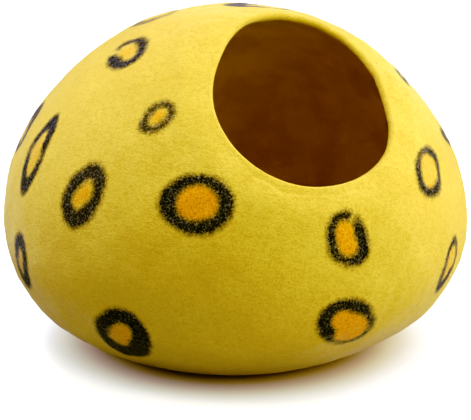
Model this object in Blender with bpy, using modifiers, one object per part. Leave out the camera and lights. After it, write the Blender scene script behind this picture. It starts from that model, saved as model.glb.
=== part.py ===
"""Felt cat cave: a squat round pod of thick wet-felted wool with one oval mouth in its upper front.

The pod is felted over a form in one piece, so it is one closed shell: the outer face, the rounded
lip of the mouth and the inner face. The leopard spots are dark and amber wool laid into the same
felt. They have no thickness of their own and are left to the surface finish.

Metres, +Z up. Seen from the front, X points right and Y points to the back.
The origin is under the middle of the pod, at the level of the floor it rests on.
"""

from collections import namedtuple

import bmesh
import bpy
import numpy as np

NAME = "felt_cave"

# The pod. Its widest level is below the middle of its height, and its own weight flattens it
# where it rests on the floor.
WIDEST_HEIGHT = 0.136
TOP_HEIGHT = 0.350
SUNK_DEPTH = 0.0245     # how much deeper the round underside would reach if no floor held it
BASE_SOFTNESS = 0.010   # the height over which the side eases into the flat base

# The felt and its lip.
WALL = 0.008
LIP_ROUND = 0.0032
LIP_STEPS = 3

# The mouth, measured across its rim, and the direction that it faces from the pod's middle.
MOUTH_LENGTH = 0.228
MOUTH_WIDTH = 0.180
MOUTH_EGG = 0.003       # how far the rim departs from an oval towards a rounded triangle
MOUTH_TURN = 32.0       # degrees from the front towards the pod's right
MOUTH_RISE = 52.0       # degrees above the floor
LENGTH_TURN = 60.0      # degrees from the mouth's level axis to its long axis
EGG_TURN = -53.0        # degrees from the mouth's level axis to one corner of the egg
REACH_TO_RIM = 0.226    # from the pod's middle to the felt just outside the rim

# The felt rolls in a little towards the mouth, like a shallow funnel.
ROLL_IN = 0.007
ROLL_WIDTH = 0.020

# The mesh: steps around the mouth, and rings from the mouth to the point opposite it.
STEPS_AROUND = 64
RINGS = 36
RING_CROWDING = 0.30    # 0 spaces the rings evenly, and more draws them towards the rim

FELT_COLOUR = (0.80, 0.60, 0.045, 1.0)
FELT_ROUGHNESS = 0.95

# One row for each level of the pod. "rise" is how far the level is up the pod's side, as an angle:
# -90 under the pod, 0 at its widest and 90 at its top. The reaches are those of the oval that
# the level belongs to. Its own reach is that, times the cosine of its rise.
Level = namedtuple("Level", "rise left right front back")
LEVELS = (
    Level(-90, 0.235, 0.215, 0.235, 0.235),
    Level(-60, 0.244, 0.231, 0.240, 0.240),
    Level(-40, 0.246, 0.239, 0.240, 0.238),
    Level(-20, 0.242, 0.239, 0.238, 0.236),
    Level(0, 0.240, 0.240, 0.236, 0.234),
    Level(20, 0.240, 0.237, 0.234, 0.233),
    Level(40, 0.237, 0.230, 0.232, 0.232),
    Level(60, 0.236, 0.233, 0.232, 0.232),
    Level(90, 0.242, 0.252, 0.234, 0.234),
)

# Soft unevenness from felting by hand: where it is, as degrees from the front towards the right
# and degrees up the side, how wide it spreads in degrees, and how far the felt stands out there.
Swell = namedtuple("Swell", "turn rise spread height")
SWELLS = (
    Swell(-38, 4, 24, 0.0030),
    Swell(8, -14, 20, 0.0025),
    Swell(64, 22, 22, -0.0030),
    Swell(102, -20, 26, 0.0030),
    Swell(-78, 34, 22, -0.0025),
    Swell(-112, -12, 24, 0.0025),
    Swell(150, 28, 26, 0.0035),
    Swell(-158, 8, 22, -0.0035),
    Swell(-146, 56, 20, 0.0025),
    Swell(178, -24, 24, 0.0030),
)


def smooth_column(places, knots, values):
    """Read a table's column at any places, on a smooth curve through its rows."""
    slopes = np.gradient(values, knots)
    row = np.clip(np.searchsorted(knots, places) - 1, 0, len(knots) - 2)
    gap = knots[row + 1] - knots[row]
    t = (places - knots[row]) / gap
    from_below = values[row] * (1 + 2 * t) + gap * slopes[row] * t
    from_above = values[row + 1] * (3 - 2 * t) - gap * slopes[row + 1] * (1 - t)
    return from_below * (1 - t) ** 2 + from_above * t ** 2


def direction(turn, rise):
    """The unit direction that lies turn degrees from the front to the right, and rise degrees up."""
    turn, rise = np.radians(turn), np.radians(rise)
    return np.array((np.sin(turn) * np.cos(rise), -np.cos(turn) * np.cos(rise), np.sin(rise)))


def swell_height(ways):
    """How far the hand-felted swells stand out in each direction."""
    height = np.zeros(len(ways))
    for swell in SWELLS:
        away = np.degrees(np.arccos(np.clip(ways @ direction(swell.turn, swell.rise), -1, 1)))
        height += swell.height * np.exp(-((away / swell.spread) ** 2))
    return height


def rest_on_floor(height):
    """Lift what would lie below the floor onto it, with a soft edge around the flat base."""
    eased = (height + BASE_SOFTNESS) ** 2 / (4 * BASE_SOFTNESS)
    lifted = np.where(height < -BASE_SOFTNESS, 0.0, eased)
    return np.where(height > BASE_SOFTNESS, height, lifted)


def pod_surface(ways):
    """Points of the pod's outer face, without its mouth, for unit directions in rows."""
    x, y, z = ways.T
    rise = np.degrees(np.arcsin(np.clip(z, -1, 1)))
    level = np.maximum(np.hypot(x, y), 1e-9)
    table = np.array(LEVELS)
    left, right, front, back = (smooth_column(rise, table[:, 0], table[:, k]) for k in range(1, 5))
    side = np.where(x > 0, right, left)
    depth = np.where(y > 0, back, front)
    reach = 1 / np.hypot(x / level / side, y / level / depth)
    height = WIDEST_HEIGHT + z * np.where(z > 0, TOP_HEIGHT - WIDEST_HEIGHT, WIDEST_HEIGHT + SUNK_DEPTH)
    points = np.column_stack((x * reach, y * reach, height)) + ways * swell_height(ways)[:, None]
    points[:, 2] = rest_on_floor(points[:, 2])
    return points


def mouth_frame():
    """The mouth's level axis, its upward axis and the direction it faces, as columns."""
    facing = direction(MOUTH_TURN, MOUTH_RISE)
    level = np.cross((0, 0, 1), facing)
    level /= np.linalg.norm(level)
    return np.column_stack((level, np.cross(facing, level), facing))


def rim_angle(around):
    """The angle between the mouth's axis and its rim, for angles around that axis."""
    on_long = np.cos(around - np.radians(LENGTH_TURN)) / (MOUTH_LENGTH / 2)
    on_wide = np.sin(around - np.radians(LENGTH_TURN)) / (MOUTH_WIDTH / 2)
    half = 1 / np.hypot(on_long, on_wide) + MOUTH_EGG * np.cos(3 * (around - np.radians(EGG_TURN)))
    return np.arcsin(half / (REACH_TO_RIM - ROLL_IN))


def felt_surface(around, share):
    """Points of the outer face, share 0 on the mouth's rim and 1 at the point opposite it."""
    rim = rim_angle(around)
    spaced = share * (1 - RING_CROWDING + RING_CROWDING * share)
    from_axis = rim + (np.pi - rim) * spaced
    flat = np.sin(from_axis)
    ways = np.column_stack((flat * np.cos(around), flat * np.sin(around), np.cos(from_axis)))
    ways = ways @ mouth_frame().T
    from_rim = (from_axis - rim) * REACH_TO_RIM
    roll = ROLL_IN * np.exp(-((from_rim / ROLL_WIDTH) ** 2))
    return pod_surface(ways) - ways * roll[:, None]


def felt_material():
    """Plain yellow wool felt."""
    material = bpy.data.materials.new("yellow_felt")
    material.use_nodes = True
    shader = material.node_tree.nodes["Principled BSDF"]
    shader.inputs["Base Color"].default_value = FELT_COLOUR
    shader.inputs["Roughness"].default_value = FELT_ROUGHNESS
    shader.inputs["Metallic"].default_value = 0.0
    return material


def outer_face():
    """The outer face as an open mesh: a sphere whose first rings are opened into the mouth."""
    form = bmesh.new()
    bmesh.ops.create_uvsphere(form, u_segments=STEPS_AROUND, v_segments=RINGS, radius=1.0)
    pole = [vertex for vertex in form.verts if vertex.co.z > 1 - 1e-6]
    bmesh.ops.delete(form, geom=pole, context="VERTS")
    sphere = np.array([vertex.co for vertex in form.verts])
    first_ring = np.pi / RINGS
    from_pole = np.arccos(np.clip(sphere[:, 2], -1, 1))
    share = np.clip((from_pole - first_ring) / (np.pi - first_ring), 0, 1)
    points = felt_surface(np.arctan2(sphere[:, 1], sphere[:, 0]), share)
    middle = (points.max(axis=0) + points.min(axis=0)) / 2
    points -= (middle[0], middle[1], 0.0)
    for vertex, point in zip(form.verts, points):
        vertex.co = point
    mesh = bpy.data.meshes.new(NAME)
    form.to_mesh(mesh)
    form.free()
    return mesh


def felt_cave(collection):
    """The whole pod: its outer face, given the felt's thickness and a rounded lip."""
    pod = bpy.data.objects.new(NAME, outer_face())
    collection.objects.link(pod)
    pod.data.materials.append(felt_material())
    wall = pod.modifiers.new("wall", "SOLIDIFY")
    wall.thickness = WALL
    wall.offset = -1
    wall.use_rim = True
    lip = pod.modifiers.new("lip", "BEVEL")
    lip.width = LIP_ROUND
    lip.segments = LIP_STEPS
    lip.limit_method = "ANGLE"
    lip.angle_limit = np.radians(50)
    pod.data.shade_smooth()
    return pod


def main():
    for old in list(bpy.data.objects):
        bpy.data.objects.remove(old)
    collection = bpy.data.collections.new("felt_cat_cave")
    bpy.context.scene.collection.children.link(collection)
    felt_cave(collection)


main()
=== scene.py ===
"""The looks of the felt cat cave: yellow wet-felted wool with dark-ringed amber spots.

Metres, +Z up, in the frame of the CAD part. Seen from the front, X points right and Y to the back.
The pod is one closed mesh: its outer face, the rolled lip of its mouth and its inner face. The spots
are dark and amber wool in the same felt, so they are colour alone. The finest grain of the wool is
colour and bump in its material.
"""

from collections import namedtuple

import bpy
import numpy as np
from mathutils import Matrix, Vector


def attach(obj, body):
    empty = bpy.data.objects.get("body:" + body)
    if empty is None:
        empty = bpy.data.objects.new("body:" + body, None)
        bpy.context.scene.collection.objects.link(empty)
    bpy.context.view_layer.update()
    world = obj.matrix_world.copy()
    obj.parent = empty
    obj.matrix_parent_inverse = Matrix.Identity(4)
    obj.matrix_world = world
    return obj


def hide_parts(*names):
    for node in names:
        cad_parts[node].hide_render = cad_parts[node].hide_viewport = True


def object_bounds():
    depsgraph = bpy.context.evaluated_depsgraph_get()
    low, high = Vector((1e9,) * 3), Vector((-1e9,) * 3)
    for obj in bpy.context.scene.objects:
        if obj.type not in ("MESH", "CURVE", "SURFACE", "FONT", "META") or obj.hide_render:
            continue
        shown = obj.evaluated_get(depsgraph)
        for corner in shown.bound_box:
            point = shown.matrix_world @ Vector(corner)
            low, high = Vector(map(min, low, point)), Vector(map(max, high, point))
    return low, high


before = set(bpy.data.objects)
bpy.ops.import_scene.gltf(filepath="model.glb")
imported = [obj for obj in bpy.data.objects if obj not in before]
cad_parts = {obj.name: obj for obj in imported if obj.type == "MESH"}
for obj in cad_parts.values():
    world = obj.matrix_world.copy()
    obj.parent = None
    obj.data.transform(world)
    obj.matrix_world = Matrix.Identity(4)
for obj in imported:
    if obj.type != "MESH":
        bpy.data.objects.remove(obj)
CAD_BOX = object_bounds()
NODE = "felt_cave"
MM = 0.001              # a millimetre
TINY = 1e-12            # keeps a division by zero away
FULL_TURN = 6.28        # radians, near enough for where a wave of wool starts

# The pod, as in the CAD part.
WIDEST_HEIGHT = 0.136
TOP_HEIGHT = 0.350
SUNK_DEPTH = 0.0245     # how much deeper the round underside would reach if no floor held it
BASE_SOFTNESS = 0.010   # the height over which the side eases into the flat base
WALL = 0.008
MOUTH_LENGTH = 0.228
MOUTH_WIDTH = 0.180
MOUTH_EGG = 0.003       # how far the rim departs from an oval towards a rounded triangle
MOUTH_TURN = 32.0       # degrees from the front towards the pod's right
MOUTH_RISE = 52.0       # degrees above the floor
LENGTH_TURN = 60.0      # degrees from the mouth's level axis to its long axis
EGG_TURN = -53.0        # degrees from the mouth's level axis to one corner of the egg
REACH_TO_RIM = 0.226    # from the pod's middle to the felt just outside the rim
ROLL_IN = 0.007         # the felt rolls in a little towards the mouth
ROLL_WIDTH = 0.020

# Unlike the CAD part, this shell doesn't roll in where the rim crosses the pod's top.
CREST_TURN = 69.0       # degrees around the mouth to that place

# The visual mesh: columns around the mouth, and rings from the mouth to the point opposite it.
COLUMNS = 288
OUTER_RINGS = 190
LIP_RINGS = 10
INNER_RINGS = 84
RING_CROWDING = 0.45    # 0 spaces the rings evenly, and more draws them towards the rim

# One row for each level of the pod. "rise" is how far the level is up the pod's side, as an angle:
# -90 under the pod, 0 at its widest and 90 at its top. The reaches are those of the oval that
# the level belongs to. Its own reach is that, times the cosine of its rise.
Level = namedtuple("Level", "rise left right front back")
LEVELS = (
    Level(-90, 0.235, 0.215, 0.235, 0.235),
    Level(-60, 0.244, 0.231, 0.240, 0.240),
    Level(-40, 0.246, 0.239, 0.240, 0.238),
    Level(-20, 0.242, 0.239, 0.238, 0.236),
    Level(0, 0.240, 0.240, 0.236, 0.234),
    Level(20, 0.240, 0.237, 0.234, 0.233),
    Level(40, 0.237, 0.230, 0.232, 0.232),
    Level(60, 0.236, 0.233, 0.232, 0.232),
    Level(90, 0.242, 0.252, 0.234, 0.234),
)

# Soft unevenness from felting by hand: where it is, as degrees from the front towards the right
# and degrees up the side, how wide it spreads in degrees, and how far the felt stands out there.
Swell = namedtuple("Swell", "turn rise spread height")
SWELLS = (
    Swell(-38, 4, 24, 0.0030),
    Swell(8, -14, 20, 0.0025),
    Swell(64, 22, 22, -0.0030),
    Swell(102, -20, 26, 0.0030),
    Swell(-78, 34, 22, -0.0025),
    Swell(-112, -12, 24, 0.0025),
    Swell(150, 28, 26, 0.0035),
    Swell(-158, 8, 22, -0.0035),
    Swell(-146, 56, 20, 0.0025),
    Swell(178, -24, 24, 0.0030),
    # These two fill out the lower flanks, and aren't in the CAD part.
    Swell(75, -32, 18, 0.0045),
    Swell(-69, -40, 18, 0.0032),
)

# Finer lumps of the wool: the distance from lump to lump, and how far they stand out. Each is made
# of waves in many directions.
Lump = namedtuple("Lump", "pitch height")
LUMPS = (
    Lump(0.060, 0.00035),
    Lump(0.024, 0.00018),
    Lump(0.009, 0.00010),
)
WAVES_PER_LUMP = 14
WAVE_RANGE = (0.75, 1.35)   # the shortest and the longest wave, as shares of the pitch
LUMPS_FULL_FROM = 0.02      # below this height the pod's weight presses them flatter
OUTER_SEED = 3
INNER_SEED = 8
SPOT_SEED = 21

# Creases in the felt near the rim: where along the rim and how long along it, in degrees around the
# mouth, and how far outside it, how wide and how deep, in millimetres.
Crease = namedtuple("Crease", "around spread out width depth")
CREASES = (
    Crease(-128, 14, 11, 1.6, 0.7),
    Crease(-120, 12, 16, 1.4, 0.5),
    Crease(-98, 12, 10, 1.6, 0.7),
    Crease(-92, 14, 15, 1.5, 0.5),
    Crease(-76, 10, 9, 1.4, 0.5),
    Crease(-70, 12, 19, 1.5, 0.4),
    Crease(-146, 10, 8, 1.4, 0.4),
)
CREASE_WAVER = 1.2      # millimetres that a crease wavers in and out
WAVER_PACE = 0.35       # radians of that waver for each degree along the rim
CREASE_DRIFT = 0.05     # millimetres outwards for each degree along the rim
RIDGE_SHARE = 0.55      # the height of the ridge beside a crease, as a share of its depth
RIDGE_AWAY = 1.9        # how far outside the crease that ridge is, in crease widths

# The leopard spots. turn and rise place one on the pod as above, and right and up shift it along
# the felt. Shifts and sizes are millimetres along the felt. length and width are over the dark ring,
# and lean is the long axis's angle from level. The outline is drawn out by the share "point" towards
# point_turn. The dark band is as thick as stated on each side, and open over "gap" degrees on each
# side of gap_turn. "core" is the share of the hole that amber wool fills, tint its strength, and
# "dark" the strength of the dark band.
Spot = namedtuple(
    "Spot",
    "turn rise right up length width lean point point_turn on_right on_top on_left on_bottom"
    " gap gap_turn core tint dark",
)
SPOTS = (
    # In the photo's view. What lies past its outline is guessed.
    Spot(-58, 58, -3, 0, 54, 44, 150, 0.06, 220, 10, 9, 7, 14, 14, 195, 0.75, 0.45, 1.00),
    Spot(-25, 40, 2, 2, 41, 31, 64, 0.12, 225, 8, 8, 8, 8.5, 0, 0, 0.62, 0.65, 0.94),
    Spot(-64, 24, -4, -1, 90, 37, 95, 0.00, 0, 8, 19, 6.5, 19, 0, 0, 0.80, 0.35, 1.00),
    Spot(-39, 18, -3, -2, 66, 47, 72, 0.05, 60, 12, 15, 13, 19, 0, 0, 0.75, 0.70, 0.98),
    Spot(-9, 19, 0, 0, 68, 58, 0, 0.12, 182, 15, 10, 14, 13.5, 0, 0, 1.0, 1.0, 1.00),
    Spot(26, 9, 2, 0, 51, 44, 104, 0.24, -44, 14, 8, 12, 8, 7, 62, 0.95, 0.90, 1.00),
    Spot(27, -18, 6, -8, 81, 53, 142, 0.06, 60, 9, 14, 17, 4, 0, 0, 1.0, 0.95, 1.00),
    Spot(60, 20, -1, -2, 55, 43, 30, 0.22, 32, 6, 6, 11, 10, 0, 0, 1.0, 0.35, 1.00),
    Spot(-30, -25, -2, -7, 88, 60, 68, 0.04, 20, 22, 19, 14, 26, 0, 0, 0.90, 0.75, 1.00),
    Spot(-64, -6, 1, -6, 67, 37, 72, 0.00, 0, 12, 16, 7, 18, 0, 0, 0.80, 0.40, 1.00),
    Spot(63, -10, 7, 0, 60, 30, 74, 0.05, 120, 6, 8, 7, 14, 0, 0, 0.80, 0.35, 1.00),
    Spot(132, 78, 12, 3, 88, 50, 84, 0.00, 0, 22, 24, 5, 8, 0, 0, 0.80, 0.20, 1.00),
    Spot(96, 42, -9, -2, 20, 40, 90, 0.05, 240, 7, 8, 22, 7, 0, 0, 0.80, 0.30, 0.98),
    Spot(92, 22, -19, 4, 19, 40, 67, 0.00, 0, 8, 9, 20, 8, 0, 0, 0.85, 0.30, 0.96),
    Spot(-92, 26, 15, 0, 58, 48, 112, 0.04, 240, 22, 24, 9, 9, 0, 0, 0.80, 0.20, 0.94),
    Spot(-102, 70, -12, -7, 50, 54, 81, 0.00, 0, 20, 6, 7, 12, 0, 0, 0.80, 0.20, 0.65),
    # On the far sides and the back, which it doesn't show, in the same manner.
    Spot(-100, -10, 0, 0, 66, 50, 40, 0.08, 30, 10, 9, 12, 12, 0, 0, 0.90, 0.85, 1.00),
    Spot(-132, 14, 0, 0, 72, 54, 100, 0.06, 270, 11, 13, 9, 12, 0, 0, 0.95, 0.95, 1.00),
    Spot(-142, -24, 0, 0, 58, 46, 20, 0.10, 180, 9, 8, 11, 9, 10, 300, 0.90, 0.75, 1.00),
    Spot(-158, 44, 0, 0, 54, 40, 70, 0.08, 60, 8, 7, 6, 10, 0, 0, 0.85, 0.80, 1.00),
    Spot(-176, 4, 0, 0, 60, 50, 150, 0.06, 330, 10, 12, 9, 10, 0, 0, 0.95, 0.95, 1.00),
    Spot(168, -30, 0, 0, 74, 52, 30, 0.05, 210, 12, 12, 10, 10, 0, 0, 0.90, 0.75, 1.00),
    Spot(150, 24, 0, 0, 70, 56, 10, 0.10, 0, 14, 10, 12, 13, 0, 0, 1.0, 1.0, 1.00),
    Spot(140, 54, 0, 0, 40, 31, 120, 0.12, 300, 6, 6, 7, 7, 0, 0, 0.70, 0.70, 1.00),
    Spot(126, -12, 0, 0, 56, 44, 80, 0.10, 250, 10, 8, 9, 12, 12, 100, 0.95, 0.90, 1.00),
    Spot(92, -18, 0, 0, 52, 42, 50, 0.10, 230, 9, 8, 8, 11, 0, 0, 0.90, 0.85, 1.00),
    Spot(118, 6, 0, 0, 34, 27, 30, 0.12, 200, 6, 6, 6, 6, 0, 0, 0.70, 0.75, 1.00),
)
SPOT_REACH = 0.09       # no spot reaches further than this from its centre
SPOT_WAVER = 2.2        # how strongly the lumps of the wool push a spot's outline in and out
POINT_SHARPNESS = 6     # more makes the drawn-out side of an outline narrower
HOLE_POINT = 0.25       # how much of that point the hole has too
FAR = 0.02              # the distance that is kept where no spot is near

# What the mesh keeps of the spots at each point, and its value away from them: how far the point is
# outside a dark band and outside an amber core, and how strong the two are.
Field = namedtuple("Field", "name elsewhere")
SPOT_FIELDS = (
    Field("ring_edge", FAR),
    Field("core_edge", FAR),
    Field("tint", 0.0),
    Field("dark", 0.0),
)


def smooth_column(places, knots, values):
    """Read a table's column at any places, on a smooth curve through its rows."""
    slopes = np.gradient(values, knots)
    row = np.clip(np.searchsorted(knots, places) - 1, 0, len(knots) - 2)
    gap = knots[row + 1] - knots[row]
    t = (places - knots[row]) / gap
    from_below = values[row] * (1 + 2 * t) + gap * slopes[row] * t
    from_above = values[row + 1] * (3 - 2 * t) - gap * slopes[row + 1] * (1 - t)
    return from_below * (1 - t) ** 2 + from_above * t ** 2


def direction(turn, rise):
    """The unit direction that lies turn degrees from the front to the right, and rise degrees up."""
    turn, rise = np.radians(turn), np.radians(rise)
    return np.array((np.sin(turn) * np.cos(rise), -np.cos(turn) * np.cos(rise), np.sin(rise)))


def degrees_from(mark, angle):
    """The shorter way round from a mark to an angle, from -180 to 180 degrees."""
    return (angle - mark + 180) % 360 - 180


def swell_height(ways):
    """How far the hand-felted swells stand out in each direction."""
    height = np.zeros(len(ways))
    for swell in SWELLS:
        away = np.degrees(np.arccos(np.clip(ways @ direction(swell.turn, swell.rise), -1, 1)))
        height += swell.height * np.exp(-((away / swell.spread) ** 2))
    return height


def rest_on_floor(height):
    """Lift what would lie below the floor onto it, with a soft edge around the flat base."""
    eased = (height + BASE_SOFTNESS) ** 2 / (4 * BASE_SOFTNESS)
    lifted = np.where(height < -BASE_SOFTNESS, 0.0, eased)
    return np.where(height > BASE_SOFTNESS, height, lifted)


def pod_surface(ways):
    """Points of the pod's outer face, without its mouth, for unit directions in rows."""
    x, y, z = ways.T
    rise = np.degrees(np.arcsin(np.clip(z, -1, 1)))
    level = np.maximum(np.hypot(x, y), TINY)
    table = np.array(LEVELS)
    left, right, front, back = (smooth_column(rise, table[:, 0], table[:, k]) for k in range(1, 5))
    side = np.where(x > 0, right, left)
    depth = np.where(y > 0, back, front)
    reach = 1 / np.hypot(x / level / side, y / level / depth)
    upright = np.where(z > 0, TOP_HEIGHT - WIDEST_HEIGHT, WIDEST_HEIGHT + SUNK_DEPTH)
    points = np.column_stack((x * reach, y * reach, WIDEST_HEIGHT + z * upright))
    points += ways * swell_height(ways)[:, None]
    points[:, 2] = rest_on_floor(points[:, 2])
    return points


def mouth_frame():
    """The mouth's level axis, its upward axis and the direction it faces, as columns."""
    facing = direction(MOUTH_TURN, MOUTH_RISE)
    level = np.cross((0, 0, 1), facing)
    level /= np.linalg.norm(level)
    return np.column_stack((level, np.cross(facing, level), facing))


def rim_angle(around):
    """The angle between the mouth's axis and its rim, for angles around that axis."""
    on_long = np.cos(around - np.radians(LENGTH_TURN)) / (MOUTH_LENGTH / 2)
    on_wide = np.sin(around - np.radians(LENGTH_TURN)) / (MOUTH_WIDTH / 2)
    half = 1 / np.hypot(on_long, on_wide) + MOUTH_EGG * np.cos(3 * (around - np.radians(EGG_TURN)))
    return np.arcsin(half / (REACH_TO_RIM - ROLL_IN))


def rim_distance(around, from_axis):
    """How far from the rim a place is along the felt, for its angles around the axis and from it."""
    return (from_axis - rim_angle(around)) * REACH_TO_RIM


def felt_surface(around, from_axis):
    """Points of the outer face, for angles around the mouth's axis and away from it."""
    flat = np.sin(from_axis)
    ways = np.column_stack((flat * np.cos(around), flat * np.sin(around), np.cos(from_axis)))
    ways = ways @ mouth_frame().T
    off_crest = 1 - np.maximum(np.cos(around - np.radians(CREST_TURN)), 0) ** 2
    near_rim = np.exp(-((rim_distance(around, from_axis) / ROLL_WIDTH) ** 2))
    roll = ROLL_IN * off_crest * near_rim
    return pod_surface(ways) - ways * roll[:, None]


def lumps(points, seed):
    """Uneven heights of the wool at the given points, from waves in many directions."""
    random = np.random.default_rng(seed)
    height = np.zeros(len(points))
    for lump in LUMPS:
        for _ in range(WAVES_PER_LUMP):
            way = random.normal(size=3)
            way *= 2 * np.pi / (np.linalg.norm(way) * lump.pitch * random.uniform(*WAVE_RANGE))
            wave = np.cos(points @ way + random.uniform(0, FULL_TURN))
            height += lump.height * np.sqrt(2 / WAVES_PER_LUMP) * wave
    return height


def resting_lumps(points, seed):
    """The lumps where the pod stands, pressed flatter just above the floor."""
    return lumps(points, seed) * np.clip(points[:, 2] / LUMPS_FULL_FROM, 0, 1)


def crease_depth(around, from_rim):
    """How deep the creases near the rim are. Each has a low ridge along its outer side."""
    depth = np.zeros(len(around))
    for number, crease in enumerate(CREASES):
        along = degrees_from(crease.around, np.degrees(around))
        waver = CREASE_WAVER * np.sin(along * WAVER_PACE + number) + CREASE_DRIFT * along
        across = (from_rim / MM - crease.out - waver) / crease.width
        trough = np.exp(-(across ** 2)) - RIDGE_SHARE * np.exp(-((across - RIDGE_AWAY) ** 2))
        depth += crease.depth * MM * trough * np.exp(-((along / crease.spread) ** 2))
    return depth


def grid_normals(points):
    """Outward unit normals of a grid of points: rings in rows, columns around the mouth."""
    along = np.roll(points, -1, axis=1) - np.roll(points, 1, axis=1)
    down = np.gradient(points, axis=0)
    normals = np.cross(down, along)
    normals /= np.maximum(np.linalg.norm(normals, axis=2, keepdims=True), TINY)
    middle = np.array((0.0, 0.0, WIDEST_HEIGHT))
    if np.mean(np.sum(normals * (points - middle), axis=2)) < 0:
        normals = -normals
    return normals


def ring_angles(rings):
    """Angles around the mouth's axis and from it, for rings that start half a wall outside the rim."""
    around = np.linspace(-np.pi, np.pi, COLUMNS, endpoint=False)
    share = np.linspace(0, 1, rings + 1)[:-1]
    spaced = share * (1 - RING_CROWDING + RING_CROWDING * share)
    start = rim_angle(around) + WALL / 2 / REACH_TO_RIM
    from_axis = start[None, :] + (np.pi - start[None, :]) * spaced[:, None]
    return np.broadcast_to(around, from_axis.shape), from_axis


def face_grid(rings):
    """The plain outer face on a grid of rings, and its normals."""
    around, from_axis = ring_angles(rings)
    points = felt_surface(around.ravel(), from_axis.ravel()).reshape(rings, COLUMNS, 3)
    return points, grid_normals(points)


def outer_grid():
    """The outer face with its lumps and creases, and the normals of the plain face."""
    points, normals = face_grid(OUTER_RINGS)
    around, from_axis = ring_angles(OUTER_RINGS)
    flat = points.reshape(-1, 3)
    height = resting_lumps(flat, OUTER_SEED)
    height -= crease_depth(around.ravel(), rim_distance(around, from_axis).ravel())
    uneven = flat + normals.reshape(-1, 3) * height[:, None]
    uneven[:, 2] = np.maximum(uneven[:, 2], 0.0)
    return uneven.reshape(points.shape), normals


def inner_grid():
    """The inner face, a wall's thickness inside the outer one."""
    points, normals = face_grid(INNER_RINGS)
    flat = points.reshape(-1, 3)
    height = resting_lumps(flat, INNER_SEED)
    flat = flat - normals.reshape(-1, 3) * (WALL - height)[:, None]
    return flat.reshape(points.shape)


def lip_grid(outer, normals):
    """The rolled lip: half circles from the outer face over to the inner one."""
    edge, further_out = outer[0], outer[2]
    out = normals[0]
    towards = edge - further_out
    towards -= out * np.sum(towards * out, axis=1, keepdims=True)
    towards /= np.linalg.norm(towards, axis=1, keepdims=True)
    middle = edge - out * WALL / 2
    rings = []
    for step in range(1, LIP_RINGS):
        angle = np.pi * step / LIP_RINGS
        rings.append(middle + (out * np.cos(angle) + towards * np.sin(angle)) * WALL / 2)
    return np.array(rings)


def spot_fields(points, normals):
    """The spots at each point of the outer face, as SPOT_FIELDS lists them."""
    ring, core, tint, dark = (np.full(len(points), field.elsewhere) for field in SPOT_FIELDS)
    waver = SPOT_WAVER * lumps(points, SPOT_SEED)
    for spot in SPOTS:
        centre = pod_surface(direction(spot.turn, spot.rise)[None, :])[0]
        facing = normals[np.argmin(np.linalg.norm(points - centre, axis=1))]
        right = np.cross((0, 0, 1), facing)
        right /= np.linalg.norm(right)
        up = np.cross(facing, right)
        away = points - centre - (right * spot.right + up * spot.up) * MM
        reach = np.linalg.norm(away, axis=1)
        near = (reach < SPOT_REACH) & (normals @ facing > 0)
        angle = np.degrees(np.arctan2(away[near] @ up, away[near] @ right))
        outside_ring, outside_core = ring_and_core(spot, reach[near] + waver[near], angle)
        dark[near] = np.where(outside_ring < ring[near], spot.dark, dark[near])
        ring[near] = np.minimum(ring[near], outside_ring)
        tint[near] = np.where(outside_core < core[near], spot.tint, tint[near])
        core[near] = np.minimum(core[near], outside_core)
    return ring, core, tint, dark


def ring_and_core(spot, reach, angle):
    """How far points at a reach and angle from a spot's centre lie outside its ring and its core."""
    turned = np.radians(angle - spot.lean)
    oval = MM / 2 / np.hypot(np.cos(turned) / spot.length, np.sin(turned) / spot.width)
    off_point = np.radians(angle - spot.point_turn)
    pointed = spot.point * np.maximum(np.cos(off_point), 0) ** POINT_SHARPNESS
    band = np.zeros(len(angle))
    for side, thickness in enumerate((spot.on_right, spot.on_top, spot.on_left, spot.on_bottom)):
        band += thickness * MM * np.maximum(np.cos(np.radians(angle - 90 * side)), 0) ** 2
    outline = oval * (1 + pointed)
    hole = oval * (1 + HOLE_POINT * pointed) - band
    outside = np.maximum(reach - outline, hole - reach)
    if spot.gap:
        off_gap = np.abs(degrees_from(spot.gap_turn, angle))
        outside = np.maximum(outside, np.radians(spot.gap - off_gap) * reach)
    return outside, reach - hole * spot.core


def close_grid(rings, first_pole, last_pole):
    """Points and faces of a closed skin of rings, with a pole at each end."""
    count = len(rings)
    points = np.concatenate((rings.reshape(-1, 3), [first_pole, last_pole]))
    column = np.arange(COLUMNS)
    after = (column + 1) % COLUMNS
    faces = []
    for ring in range(count - 1):
        near, far = ring * COLUMNS, (ring + 1) * COLUMNS
        faces += np.column_stack((near + column, near + after, far + after, far + column)).tolist()
    start, end = count * COLUMNS, count * COLUMNS + 1
    last = (count - 1) * COLUMNS
    faces += np.column_stack((np.full(COLUMNS, start), after, column)).tolist()
    faces += np.column_stack((np.full(COLUMNS, end), last + column, last + after)).tolist()
    return points, faces


def store(mesh, name, values):
    """Keep a number for each point of a mesh, for its material."""
    attribute = mesh.attributes.new(name, "FLOAT", "POINT")
    attribute.data.foreach_set("value", np.asarray(values, dtype=np.float32))


def new_object(name, points, faces):
    """A smooth mesh object with the given points and faces."""
    mesh = bpy.data.meshes.new(name)
    mesh.from_pydata(points.tolist(), [], faces)
    mesh.validate()
    mesh.shade_smooth()
    made = bpy.data.objects.new(name, mesh)
    bpy.context.scene.collection.objects.link(made)
    return made


def depth_inside(outer_count):
    """How far inside the mouth each point of the pod lies along the felt, 0 on the outer face."""
    lip = np.repeat(np.arange(1, LIP_RINGS) / LIP_RINGS, COLUMNS) * np.pi * WALL / 2
    inner = rim_distance(*ring_angles(INNER_RINGS)).ravel() + lip[-1]
    outer_pole, inner_pole = 0.0, inner.max()
    depth = np.concatenate((np.zeros(outer_count), lip, inner, [outer_pole, inner_pole]))
    return np.minimum(depth, 2 * FAR)


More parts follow.
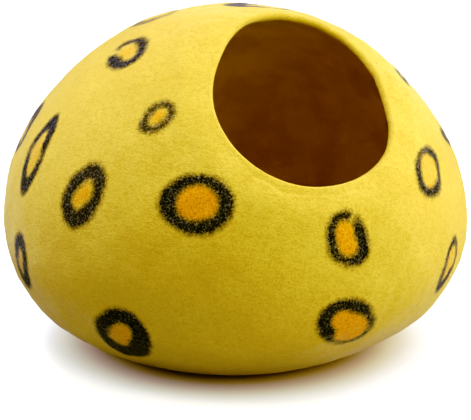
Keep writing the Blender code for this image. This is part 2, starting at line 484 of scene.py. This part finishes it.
def shift_to_cad(points):
    """The level move that puts the middle of the points' box over the middle of the CAD part's."""
    middle = (points.max(axis=0) + points.min(axis=0)) / 2
    cad_middle = (CAD_BOX[0] + CAD_BOX[1]) / 2
    return np.array((cad_middle.x - middle[0], cad_middle.y - middle[1], 0.0))


def make_pod():
    """The pod as one closed mesh: along the outside to the mouth, over the lip and back inside."""
    outer, normals = outer_grid()
    inner = inner_grid()
    rings = np.concatenate((outer[::-1], lip_grid(outer, normals), inner))
    points, faces = close_grid(rings, outer[-1].mean(axis=0), inner[-1].mean(axis=0))
    pod = new_object("felt_pod", points + shift_to_cad(points), faces)
    flat = outer[::-1].reshape(-1, 3)
    values = spot_fields(flat, normals[::-1].reshape(-1, 3))
    for field, near in zip(SPOT_FIELDS, values):
        elsewhere = np.full(len(points) - len(flat), field.elsewhere)
        store(pod.data, field.name, np.concatenate((near, elsewhere)))
    store(pod.data, "depth_inside", depth_inside(len(flat)))
    return pod


class Nodes:
    """A short way to write a material's nodes."""

    def __init__(self, name):
        """A new material, with its tree of nodes and its shader."""
        self.material = bpy.data.materials.new(name)
        self.material.use_nodes = True
        self.tree = self.material.node_tree
        self.shader = self.tree.nodes["Principled BSDF"]

    def add(self, kind, inputs=(), **settings):
        """A new node. An input that comes from another node is linked, and any other is set."""
        node = self.tree.nodes.new(kind)
        for key, value in settings.items():
            setattr(node, key, value)
        for key, value in dict(inputs).items():
            if isinstance(value, bpy.types.NodeSocket):
                self.tree.links.new(value, node.inputs[key])
            else:
                node.inputs[key].default_value = value
        return node

    def number(self, name):
        """A number that the mesh keeps for each of its points."""
        return self.add("ShaderNodeAttribute", attribute_name=name).outputs["Fac"]

    def place(self):
        """The place on the object, in metres."""
        return self.add("ShaderNodeTexCoord").outputs["Object"]

    def stretch(self, place, factors):
        """A place with each of its coordinates multiplied by its own factor."""
        node = self.add("ShaderNodeVectorMath", {0: place, 1: factors}, operation="MULTIPLY")
        return node.outputs["Vector"]

    def noise(self, place, grain):
        """Noise of the given grain, around one half."""
        inputs = {
            "Vector": place,
            "Scale": grain.scale,
            "Detail": grain.detail,
            "Roughness": grain.roughness,
            "Distortion": grain.swirl,
        }
        return self.add("ShaderNodeTexNoise", inputs).outputs["Fac"]

    def maths(self, operation, first, second, third=0.0):
        """The outcome of some arithmetic."""
        inputs = {0: first, 1: second, 2: third}
        return self.add("ShaderNodeMath", inputs, operation=operation).outputs[0]

    def sway(self, noise, width, onto=0.0):
        """Noise as a distance of either sign, added onto another."""
        return self.maths("MULTIPLY_ADD", self.maths("SUBTRACT", noise, 0.5), width, onto)

    def step(self, value, step):
        """A smooth step from nothing to the most, as the value goes from the step's start to its end."""
        inputs = {"Value": value, "From Min": step.start, "From Max": step.end, "To Max": step.most}
        return self.add("ShaderNodeMapRange", inputs, interpolation_type="SMOOTHSTEP").outputs["Result"]

    def mix(self, share, first, second):
        """The first colour with a share of the second. A Mix node's colours are at 6, 7 and 2."""
        return self.add("ShaderNodeMix", {0: share, 6: first, 7: second}, data_type="RGBA").outputs[2]

    def blend(self, value, step, first, second):
        """The first colour, passing into the second by a step."""
        return self.mix(self.step(value, step), first, second)

    def feed(self, socket, output):
        """Link an output to the shader."""
        self.tree.links.new(output, self.shader.inputs[socket])

    def finish(self, values):
        """Set what is the same all over the surface on the shader itself."""
        for socket, value in values.items():
            self.shader.inputs[socket].default_value = value


# Wool colours, as linear light. The inner face is yellow wool too, and looks amber-brown in its shade.
YELLOW = (0.93, 0.700, 0.097, 1.0)
YELLOW_DEEP = (0.81, 0.545, 0.064, 1.0)
YELLOW_PALE = (0.96, 0.75, 0.118, 1.0)
AMBER = (0.98, 0.50, 0.035, 1.0)
AMBER_DEEP = (0.78, 0.29, 0.015, 1.0)
AMBER_PALE = (1.0, 0.64, 0.080, 1.0)
BLACK = (0.027, 0.026, 0.018, 1.0)
BLACK_FLECK = (0.24, 0.23, 0.16, 1.0)
INNER = (0.93, 0.72, 0.080, 1.0)
INNER_DEEP = (0.80, 0.60, 0.050, 1.0)

# The grain of the wool, as noise: its waves in a metre, its layers of detail, how rough they are and
# how much they swirl.
Grain = namedtuple("Grain", "scale detail roughness swirl")
CLOUD = Grain(26.0, 3.0, 0.50, 0.0)
TUFT = Grain(190.0, 3.0, 0.60, 0.8)
PILL = Grain(230.0, 3.0, 0.65, 1.2)
SPECK = Grain(520.0, 3.0, 0.65, 1.0)
FIBRE = Grain(900.0, 3.0, 0.70, 1.6)
FLECK = Grain(480.0, 2.0, 0.80, 0.4)
PILL_STRETCH = (0.7, 0.7, 1.6)      # the pills are longer level than upright

# How one wool passes into another: the level of the noise where that starts and where it ends, and
# the most that shows of the second.
Step = namedtuple("Step", "start end most")
DEEP_CLOUDS = Step(0.35, 0.60, 0.30)
DEEP_PILLS = Step(0.54, 0.34, 0.75)
DEEP_SPECKS = Step(0.50, 0.34, 0.70)
PALE_SPECKS = Step(0.52, 0.68, 0.65)
DEEP_AMBER = Step(0.52, 0.36, 1.0)
PALE_AMBER = Step(0.55, 0.70, 0.8)
BLACK_FLECKS = Step(0.46, 0.70, 0.9)
INNER_CLOUDS = Step(0.35, 0.62, 1.0)

# The same by distance: across the edge of a dark band and of a core, from outside it to inside it,
# and along the felt from where the lip begins.
RING_EDGE = Step(0.0046, -0.0038, 1.0)
CORE_EDGE = Step(0.0045, -0.0035, 1.0)
INNER_EDGE = Step(0.005, 0.016, 1.0)

# How far flecks and tufts of wool fray these edges, and how much of that the inner face's edge has.
FLECK_FRAY = 0.0075
TUFT_FRAY = 0.005
INNER_FRAY = 0.5

# The matted surface as bump: the relief of its fibres and pills, where that of its specks is 1.
FIBRE_RELIEF = 0.5
PILL_RELIEF = 1.6
BUMP = {"Strength": 0.5, "Distance": 0.0012}

FELT_FINISH = {
    "Roughness": 0.95,
    "Specular IOR Level": 0.05,
    "Sheen Weight": 0.58,
    "Sheen Roughness": 0.18,
    "Sheen Tint": (1.0, 0.99, 0.74, 1.0),
}


def yellow_wool(nodes, cloud, pill, speck):
    """Yellow wool, deeper in clouds and between its pills and specks, and paler on the specks."""
    yellow = nodes.blend(cloud, DEEP_CLOUDS, YELLOW, YELLOW_DEEP)
    yellow = nodes.blend(pill, DEEP_PILLS, yellow, YELLOW_DEEP)
    yellow = nodes.blend(speck, DEEP_SPECKS, yellow, YELLOW_DEEP)
    return nodes.blend(speck, PALE_SPECKS, yellow, YELLOW_PALE)


def spotted_wool(nodes, yellow, speck, fleck, fray):
    """The yellow wool with the amber cores and the dark rings laid into it."""
    amber = nodes.blend(speck, DEEP_AMBER, AMBER, AMBER_DEEP)
    amber = nodes.blend(speck, PALE_AMBER, amber, AMBER_PALE)
    black = nodes.blend(fleck, BLACK_FLECKS, BLACK, BLACK_FLECK)
    core = nodes.step(nodes.maths("ADD", nodes.number("core_edge"), fray), CORE_EDGE)
    ring = nodes.step(nodes.maths("ADD", nodes.number("ring_edge"), fray), RING_EDGE)
    cored = nodes.mix(nodes.maths("MULTIPLY", core, nodes.number("tint")), yellow, amber)
    return nodes.mix(nodes.maths("MULTIPLY", ring, nodes.number("dark")), cored, black)


def felt_material():
    """Matt wool felt with a fine matted surface."""
    nodes = Nodes("wool_felt")
    place = nodes.place()
    cloud, tuft, speck, fibre, fleck = (
        nodes.noise(place, grain) for grain in (CLOUD, TUFT, SPECK, FIBRE, FLECK)
    )
    pill = nodes.noise(nodes.stretch(place, PILL_STRETCH), PILL)
    fray = nodes.sway(tuft, TUFT_FRAY, nodes.sway(fleck, FLECK_FRAY))
    outside = spotted_wool(nodes, yellow_wool(nodes, cloud, pill, speck), speck, fleck, fray)
    inside = nodes.blend(cloud, INNER_CLOUDS, INNER_DEEP, INNER)
    depth = nodes.maths("MULTIPLY_ADD", fray, INNER_FRAY, nodes.number("depth_inside"))
    nodes.feed("Base Color", nodes.blend(depth, INNER_EDGE, outside, inside))
    relief = nodes.maths("MULTIPLY_ADD", fibre, FIBRE_RELIEF, speck)
    relief = nodes.maths("MULTIPLY_ADD", pill, PILL_RELIEF, relief)
    nodes.feed("Normal", nodes.add("ShaderNodeBump", {"Height": relief, **BUMP}).outputs["Normal"])
    nodes.finish(FELT_FINISH)
    return nodes.material


# The studio: a white floor, soft lamps and the photograph's angle of view.
WHITE = (1.0, 1.0, 1.0, 1.0)
CAMERA_RISE = 16.19         # degrees above level
CAMERA_DISTANCE = 2.012     # from the point that it looks at
CAMERA_AIM = 0.137          # the height of that point, over the middle of the pod
LENS = 147.2                # millimetres, as is the sensor's width
SENSOR = 36.0

# The floor glows for the camera, so that it looks white away from the pod. Close to the pod its
# colour and its glow stand for the yellow light that the felt throws on it.
FLOOR_SIZE = 30.0
FLOOR_GREY = (0.45, 0.45, 0.45, 1.0)
FLOOR_WARM = (0.50, 0.39, 0.12, 1.0)
GLOW_WARM = (1.0, 0.74, 0.26, 1.0)
FLOOR_FINISH = {"Roughness": 1.0, "Specular IOR Level": 0.0}

# By distance from the pod's middle: from the warm colours to the plain ones, and the glow's strength.
PLAIN_FLOOR = Step(0.13, 0.20, 1.0)
FLOOR_GLOW = Step(0.120, 0.23, 0.84)

# The lamps: where they stand, how wide they are, their power, and how green and blue their light is.
Lamp = namedtuple("Lamp", "name x y z width power green blue")
LAMPS = (
    Lamp("key", -0.6, -0.8, 2.0, 0.6, 12.5, 0.95, 0.62),
    Lamp("left_top", -0.9, 0.2, 2.1, 0.5, 17.0, 1.02, 1.40),
    Lamp("top", 0.2, -0.2, 2.3, 1.0, 4.5, 1.00, 1.00),
    Lamp("left", -2.0, 0.3, 1.0, 1.2, 15.0, 1.00, 1.30),
    Lamp("right", 2.0, -0.2, 0.9, 1.2, 21.0, 1.00, 1.00),
    Lamp("right_back", 1.8, 1.3, 1.0, 1.0, 28.0, 1.00, 1.15),
    Lamp("right_front", 1.5, -1.4, 1.1, 1.0, 12.0, 0.96, 0.70),
    Lamp("low_front", 1.0, -2.0, 0.30, 1.0, 4.5, 0.94, 0.40),
    Lamp("back", -0.5, 2.2, 1.4, 1.2, 21.0, 1.02, 1.40),
)
LAMP_AIM = 0.15         # the height over the middle of the pod that they point to

# The photograph's tones, as points of smooth curves from the scene's light to the light shown:
# deep shades for all colours, and steeper curves for green and blue.
Tone = namedtuple("Tone", "light shown")
TONES = (
    Tone(0.0, 0.0),
    Tone(0.015, 0.002),
    Tone(0.04, 0.012),
    Tone(0.09, 0.060),
    Tone(0.20, 0.185),
    Tone(0.5, 0.5),
    Tone(1.0, 1.0),
)
GREEN_TONES = (
    Tone(0.0, 0.0),
    Tone(0.050, 0.047),
    Tone(0.162, 0.150),
    Tone(0.262, 0.241),
    Tone(0.342, 0.322),
    Tone(0.407, 0.405),
    Tone(0.527, 0.545),
    Tone(0.604, 0.628),
    Tone(0.680, 0.700),
    Tone(0.830, 0.838),
    Tone(1.0, 1.0),
)
BLUE_TONES = (
    Tone(0.0, 0.0),
    Tone(0.007, 0.0022),
    Tone(0.0152, 0.0068),
    Tone(0.0232, 0.0110),
    Tone(0.0319, 0.0180),
    Tone(0.0409, 0.0300),
    Tone(0.0578, 0.060),
    Tone(0.1022, 0.135),
    Tone(0.205, 0.235),
    Tone(0.5, 0.515),
    Tone(1.0, 1.0),
)


def floor_material():
    """A matt floor that the camera sees as white away from the pod, and as a little warm close to it."""
    nodes = Nodes("studio_white")
    level = nodes.stretch(nodes.place(), (1.0, 1.0, 0.0))
    away = nodes.add("ShaderNodeVectorMath", {0: level}, operation="LENGTH").outputs["Value"]
    nodes.feed("Base Color", nodes.blend(away, PLAIN_FLOOR, FLOOR_WARM, FLOOR_GREY))
    nodes.feed("Emission Color", nodes.blend(away, PLAIN_FLOOR, GLOW_WARM, WHITE))
    seen = nodes.add("ShaderNodeLightPath").outputs["Is Camera Ray"]
    nodes.feed("Emission Strength", nodes.maths("MULTIPLY", nodes.step(away, FLOOR_GLOW), seen))
    nodes.finish(FLOOR_FINISH)
    return nodes.material


def make_floor():
    """A wide level floor under the pod."""
    half = FLOOR_SIZE / 2
    corners = np.array(((-half, -half, 0), (half, -half, 0), (half, half, 0), (-half, half, 0)))
    floor = new_object("studio_floor", corners, [(0, 1, 2, 3)])
    floor.data.materials.append(floor_material())


def make_lamps():
    """Large soft lamps, all turned to the pod."""
    for row in LAMPS:
        light = bpy.data.lights.new(row.name, "AREA")
        light.shape = "DISK"
        light.size = row.width
        light.energy = row.power
        light.color = (1.0, row.green, row.blue)
        lamp = bpy.data.objects.new(row.name, light)
        bpy.context.scene.collection.objects.link(lamp)
        lamp.location = (row.x, row.y, row.z)
        towards_lamp = lamp.location - Vector((0, 0, LAMP_AIM))
        lamp.rotation_euler = towards_lamp.to_track_quat("Z", "Y").to_euler()


def make_world():
    """A white surround, seen by the camera only."""
    world = bpy.data.worlds.new("studio")
    bpy.context.scene.world = world
    world.use_nodes = True
    tree = world.node_tree
    background = tree.nodes["Background"]
    background.inputs["Color"].default_value = WHITE
    seen = tree.nodes.new("ShaderNodeLightPath").outputs["Is Camera Ray"]
    tree.links.new(seen, background.inputs["Strength"])


def make_camera():
    """The photograph's view: from the front, a little from above, with a long lens."""
    camera = bpy.data.cameras.new("camera")
    eye = bpy.data.objects.new("camera", camera)
    bpy.context.scene.collection.objects.link(eye)
    back = Vector(direction(0, CAMERA_RISE))
    eye.location = Vector((0.0, 0.0, CAMERA_AIM)) + back * CAMERA_DISTANCE
    eye.rotation_euler = back.to_track_quat("Z", "Y").to_euler()
    camera.lens = LENS
    camera.sensor_width = SENSOR
    camera.dof.use_dof = False
    bpy.context.scene.camera = eye


def shape_curve(curve, tones):
    """Draw a tone curve through the given points."""
    curve.points[0].location = tones[0]
    curve.points[-1].location = tones[-1]
    for tone in tones[1:-1]:
        curve.points.new(tone.light, tone.shown)


def set_tone():
    """Show the scene in the photograph's tones."""
    view = bpy.context.scene.view_settings
    view.view_transform = "Standard"
    view.use_curve_mapping = True
    _, green, blue, combined = view.curve_mapping.curves
    shape_curve(green, GREEN_TONES)
    shape_curve(blue, BLUE_TONES)
    shape_curve(combined, TONES)
    view.curve_mapping.update()


def main():
    """Dress the pod and set up the studio."""
    pod = make_pod()
    pod.data.materials.append(felt_material())
    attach(pod, "root")
    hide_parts(NODE)
    make_floor()
    make_world()
    make_lamps()
    make_camera()
    set_tone()


main()
